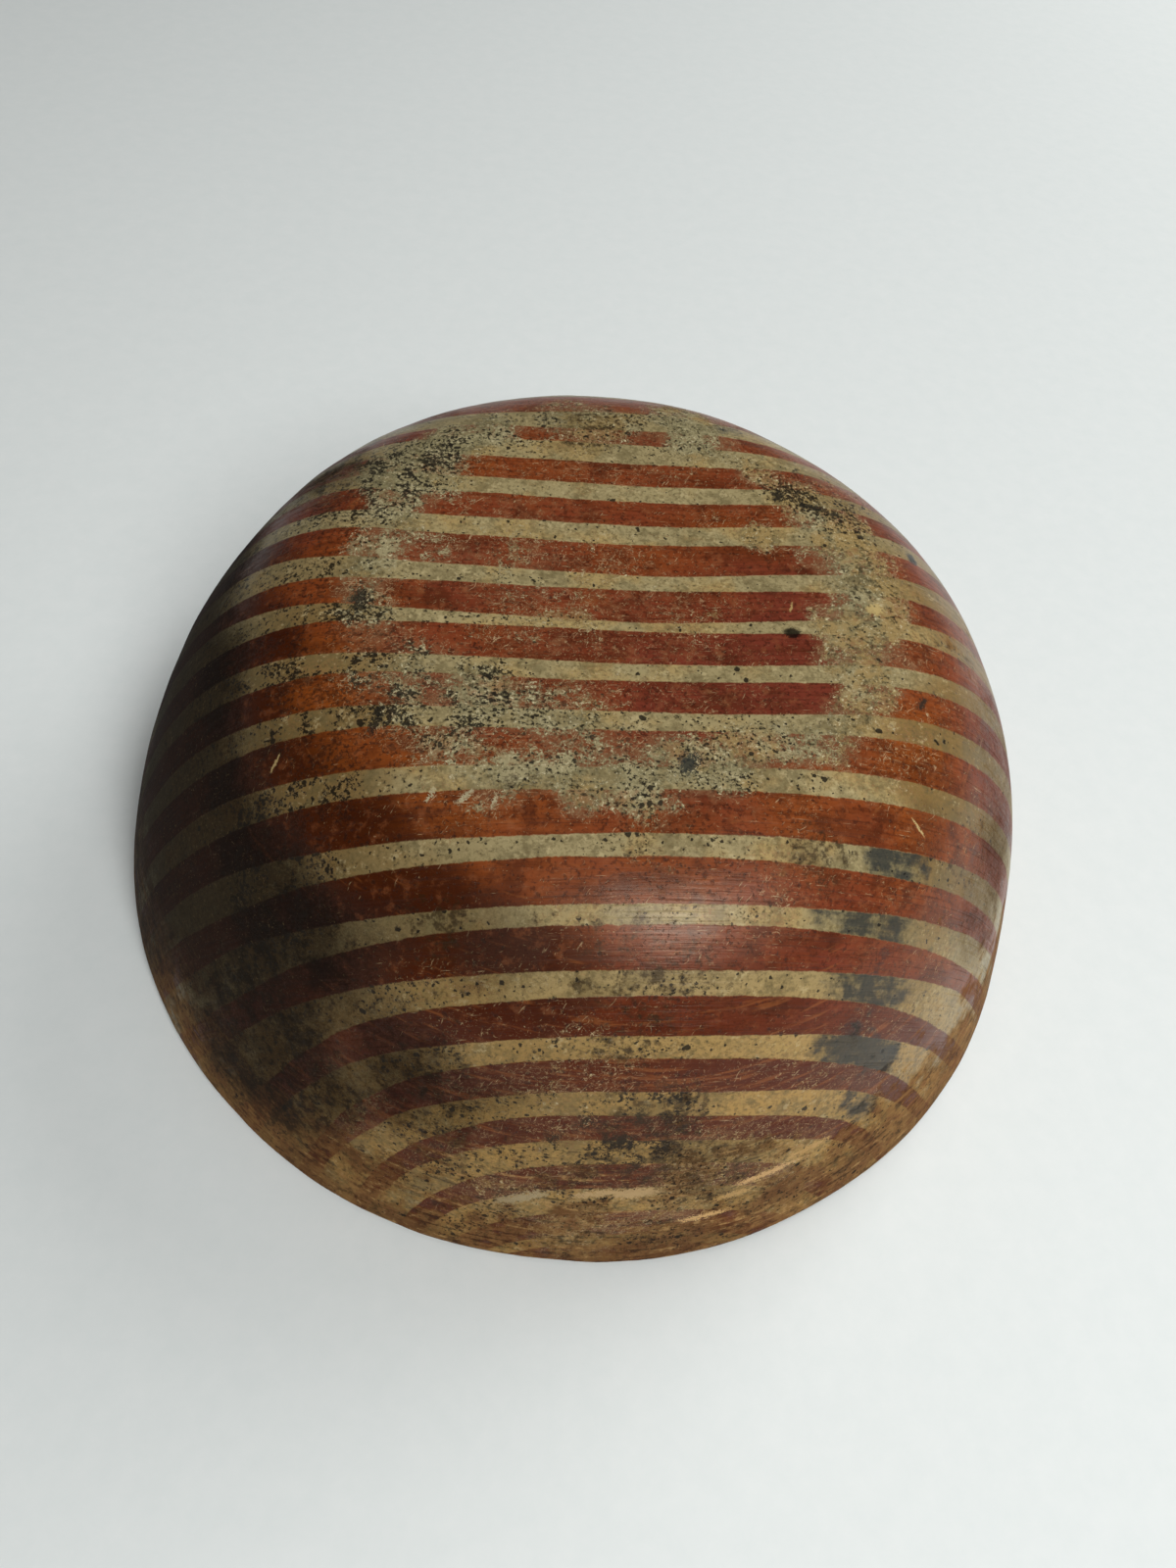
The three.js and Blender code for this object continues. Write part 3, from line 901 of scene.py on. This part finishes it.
ragged = {0: fibres.node.outputs["Color"], 1: (0.5, 0.5, 0.5)}
ragged = add(tree, "VectorMath", ragged, operation="SUBTRACT")
for mark_across, mark_along, length, width, turn, raggedness, shade in MARKS:
    there = add(tree, "VectorMath", {0: ragged, 3: raggedness}, operation="SCALE")
    there = add(tree, "VectorMath", {0: there, 1: flat}, operation="ADD")
    there = {0: there, 1: (mark_across, mark_along, 0)}
    there = add(tree, "VectorMath", there, operation="SUBTRACT")
    there = {"Vector": there, "Angle": -math.radians(turn)}
    there = add(tree, "VectorRotate", there, rotation_type="Z_AXIS")
    there = add(tree, "VectorMath", {0: there, 1: (1 / length, 1 / width, 0)}, operation="MULTIPLY")
    there = add(tree, "VectorMath", {0: there}, output=1, operation="LENGTH")
    coat = lay_over(tree, coat, shade, [(there, -1), (grain, 0.8)], -0.8, -0.35, 0.92)
print(len(MARKS), "marks laid")

# %% [markdown]
# ## Gloss and relief
#
# The pebble leaves a satin polish of about 0.3 in roughness. It is lost where the surface is
# rubbed off, at the bare rim and under the soot and painted shade, and half lost low on the near
# wall. The relief is what a fingertip feels: worn ground is gritty, the red coat stands a little
# proud, and the pebble's strokes lie along the bands.

# %% Shader of the outside
rough = add(tree, "MapRange", {"Value": gone, "To Min": 0.33, "To Max": 0.7})
rough = add(tree, "Math", {0: brushed, 1: 0.3, 2: rough}, operation="MULTIPLY_ADD")
rough = add(tree, "Math", {0: hairlines, 1: 0.15, 2: rough}, operation="MULTIPLY_ADD")
dull = add(tree, "Math", {0: soot_and_shade_share, 1: rim_here}, operation="MAXIMUM")
dull = add(tree, "Math", {0: lowest, 1: 0.5, 2: dull}, operation="MULTIPLY_ADD")
rough = add(tree, "Math", {0: dull, 1: 0.7, 2: rough}, operation="MULTIPLY_ADD")
rough = add(tree, "Math", {0: rough, 1: 0.15}, operation="SUBTRACT", use_clamp=True)

relief = 0.0
for pattern, weight in [
    (grain, 0.1), (brushed, 0.7), (hairlines, -0.12), (lumps, 0.25), (painted, 0.2), (specks, -0.5),
]:
    relief = add(tree, "Math", {0: pattern, 1: weight, 2: relief}, operation="MULTIPLY_ADD")
gritty = add(tree, "Math", {0: grain, 1: lumps}, operation="ADD")
gritty = add(tree, "Math", {0: gritty, 1: gone}, operation="MULTIPLY")
relief = add(tree, "Math", {0: gritty, 1: 0.8, 2: relief}, operation="MULTIPLY_ADD")
bump = add(tree, "Bump", {"Height": relief, "Strength": 0.6, "Distance": 0.16 * MM})
finish = {
    "Base Color": coat, "Roughness": rough, "IOR": 1.5, "Specular IOR Level": 0.3,
    "Specular Tint": linear("#ffecd8"), "Normal": bump,
}
add(tree, "OutputMaterial", {"Surface": add(tree, "BsdfPrincipled", finish)})
bowl.data.materials.append(outside)
print("Outside material has", len(tree.nodes), "nodes")

# %% [markdown]
# ## The inside
#
# The inside isn't painted in bands. Such bowls are given one coat of red-brown slip inside and
# rubbed as well, because food touches it. Spoons scratch it in all directions, liquid leaves
# rings, and the floor of the bowl is darkest. It is a material of its own, given to the faces
# that lie deeper than the skin of the outside.

# %% Shader of the inside
inside, tree = new_material("burnished_red_brown_slip")
solid = {0: add(tree, "TexCoord", {}, output=3), 3: 1 / MM}
solid = add(tree, "VectorMath", solid, operation="SCALE")
height = add(tree, "SeparateXYZ", {0: solid}, output=2)
patches = clouds(tree, solid, (18, 18, 18), 4)
mottle = clouds(tree, solid, (5, 5, 5), 7, 0.62)
grain = clouds(tree, solid, (0.9, 0.9, 0.9), 3, 0.65)
rings = clouds(tree, solid, (30, 30, 2.2), 5, 0.6)
scratches = clouds(tree, solid, (7, 0.35, 7), 2)
turned_place = {"Vector": solid, "Angle": math.radians(55)}
turned_place = add(tree, "VectorRotate", turned_place, rotation_type="Z_AXIS")
scratches = {0: scratches, 1: clouds(tree, turned_place, (6, 0.35, 6), 2)}
scratches = add(tree, "Math", scratches, operation="MAXIMUM")
coat = {0: patches, 6: linear("#7a3a1c"), 7: linear("#5e2a18")}
coat = add(tree, "Mix", coat, output=2, data_type="RGBA")
for layer in (
    ("#8f5a34", [(rings, 1)], 0.52, 0.68, 0.5),
    ("#3c1d10", [(mottle, -1)], -0.5, -0.34, 0.6),
    ("#34180c", [(grain, -1)], -0.48, -0.36, 0.5),
    ("#2a1a10", [(height, 1 / BOWL_HEIGHT), (mottle, 0.8)], 1.1, 1.5, 0.7),
    ("#a3825a", [(scratches, 1)], 0.74, 0.84, 0.6),
    ("#a08358", [(height, -1 / LIP_THICKNESS), (mottle, 2)], 0.2, 0.9, 0.8),
):
    coat = lay_over(tree, coat, *layer)
rough = {"Value": mottle, "From Min": 0.3, "From Max": 0.7, "To Min": 0.32, "To Max": 0.5}
rough = add(tree, "MapRange", rough)
relief = add(tree, "Math", {0: rings, 1: 0.8, 2: grain}, operation="MULTIPLY_ADD")
relief = add(tree, "Math", {0: scratches, 1: -0.6, 2: relief}, operation="MULTIPLY_ADD")
bump = add(tree, "Bump", {"Height": relief, "Strength": 0.5, "Distance": 0.15 * MM})
finish = {
    "Base Color": coat, "Roughness": rough, "IOR": 1.5, "Specular IOR Level": 0.35, "Normal": bump,
}
add(tree, "OutputMaterial", {"Surface": add(tree, "BsdfPrincipled", finish)})
bowl.data.materials.append(inside)

# %% Give the inside to the faces below the skin
SKIN = 2.4  # mm, deeper than any swell or press of the outside and less than half of the wall
depths = [place[2] for place in unrolled]
deep = 0
for face in bowl.data.polygons:
    if min(depths[index] for index in face.vertices) > SKIN:
        face.material_index = 1
        deep += 1
print("Faces inside:", deep, "of", len(bowl.data.polygons))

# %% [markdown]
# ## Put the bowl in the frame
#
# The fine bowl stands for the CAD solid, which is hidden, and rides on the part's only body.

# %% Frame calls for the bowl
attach(bowl, "root")
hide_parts("fired_clay_bowl")

# %% [markdown]
# ## Floor and light
#
# The bowl lies on a plain pale sheet. A room's light comes mostly from above and from the right,
# so two large soft lamps stand there. They only light, and are left out of the gloss, because
# the real room's walls have no sharp edge to mirror. The gloss on the shoulder shows one window,
# to the right behind the viewer.

# %% Floor
FLOOR_SIZE = 6
deselect_all()
bpy.ops.mesh.primitive_plane_add(size=FLOOR_SIZE, location=(0, 0, 0))
floor = bpy.context.object
floor.name = "pale_floor"
paper, tree = new_material("matt_pale_paper")
fibre = {"Vector": add(tree, "TexCoord", {}, output=3), "Scale": 150, "Detail": 4, "Roughness": 0.7}
mottled = {"Value": add(tree, "TexNoise", fibre), "From Min": 0.3, "From Max": 0.7}
sheet = {0: add(tree, "MapRange", mottled), 6: linear("#dce1df"), 7: linear("#e0e4e2")}
sheet = add(tree, "Mix", sheet, output=2, data_type="RGBA")
finish = {"Base Color": sheet, "Roughness": 0.8, "Specular IOR Level": 0.2}
add(tree, "OutputMaterial", {"Surface": add(tree, "BsdfPrincipled", finish)})
floor.data.materials.append(paper)
print("Floor is", FLOOR_SIZE, "m square")


# %% Lamps and sky
MIDDLE_OF_BOWL = Vector((0, 0, 0.05))


def soft_lamp(name, place, size, power):
    """A soft lamp that faces the bowl, with its place and two sides in metres, power in watts."""
    lamp = bpy.data.objects.new(name, bpy.data.lights.new(name, "AREA"))
    bpy.context.scene.collection.objects.link(lamp)
    lamp.data.shape = "RECTANGLE"
    lamp.data.size, lamp.data.size_y = size
    lamp.data.energy = power
    lamp.location = place
    lamp.rotation_euler = (MIDDLE_OF_BOWL - Vector(place)).to_track_quat("-Z", "Y").to_euler()
    return lamp


soft_lamp("window_light", (0.31, -0.66, 0.83), (0.36, 0.48), 8.2)
for lamp in (
    soft_lamp("room_light", (1.0, 0.8, 0.9), (1.0, 1.0), 15.2),
    soft_lamp("ceiling_light", (0.1, 0.1, 1.6), (1.5, 1.5), 6.0),
):
    lamp.visible_glossy = False
world = bpy.data.worlds.new("soft_room")
bpy.context.scene.world = world
world.use_nodes = True
sky = world.node_tree.nodes["Background"]
sky.inputs["Color"].default_value = linear("#e8eef0")
sky.inputs["Strength"].default_value = 0.02
bpy.context.scene.view_settings.view_transform = "Standard"
print("Three lamps and an even sky")
